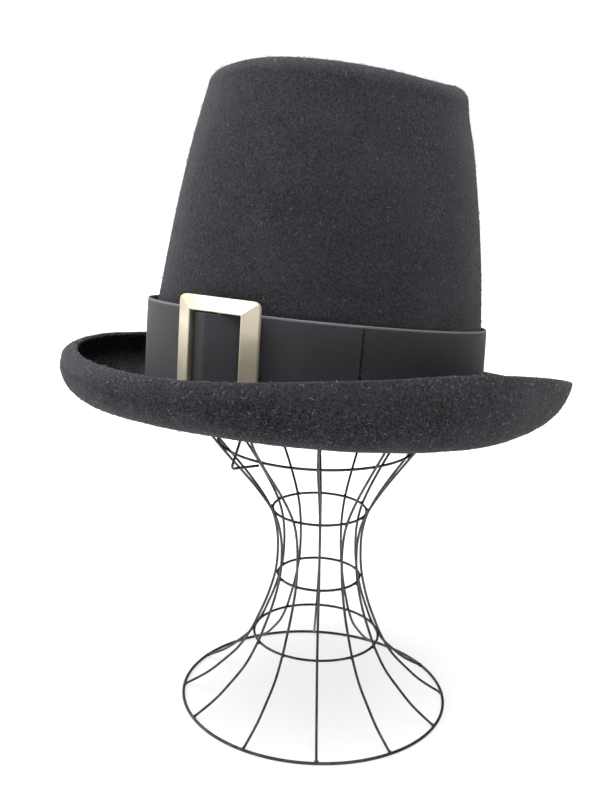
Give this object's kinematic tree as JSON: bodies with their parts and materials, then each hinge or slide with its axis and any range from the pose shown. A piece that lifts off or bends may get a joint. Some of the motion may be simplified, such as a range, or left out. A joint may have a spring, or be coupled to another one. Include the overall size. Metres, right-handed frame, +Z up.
{
  "type": "felt hat on a wire stand",
  "caption": "Tall-crowned black felt hat with a rolled brim and a buckled ribbon band, resting on a plain hourglass wire stand.",
  "frame": {"origin": "middle of the outline, on the level that the stand's base ring rests on", "axes": "+Z up; the hat's front, with the buckle, faces -Y; the wearer's left is +X"},
  "size_m": [0.2662, 0.31, 0.3665],
  "materials": {
    "felt": "matt black wool felt with a short brushed nap",
    "ribbon": "black ribbon with a fine weave and a soft sheen",
    "buckle_metal": "satin pale gold plating",
    "wire": "dark painted steel wire, half gloss"
  },
  "bodies": {
    "root": {"felt_body": "felt", "ribbon_band": "ribbon", "ribbon_loop": "ribbon", "buckle": "buckle_metal", "base_ring": "wire", "ring_lower": "wire", "ring_waist": "wire", "ring_neck": "wire", "ring_upper": "wire", "ring_seat": "wire", "ring_head": "wire", "ring_top": "wire", "stand_wire_01": "wire", "stand_wire_02": "wire", "stand_wire_03": "wire", "stand_wire_04": "wire", "stand_wire_05": "wire", "stand_wire_06": "wire", "stand_wire_07": "wire", "stand_wire_08": "wire", "stand_wire_09": "wire", "stand_wire_10": "wire", "stand_wire_11": "wire", "stand_wire_12": "wire", "wire_loop": "wire"}
  },
  "joints": []
}
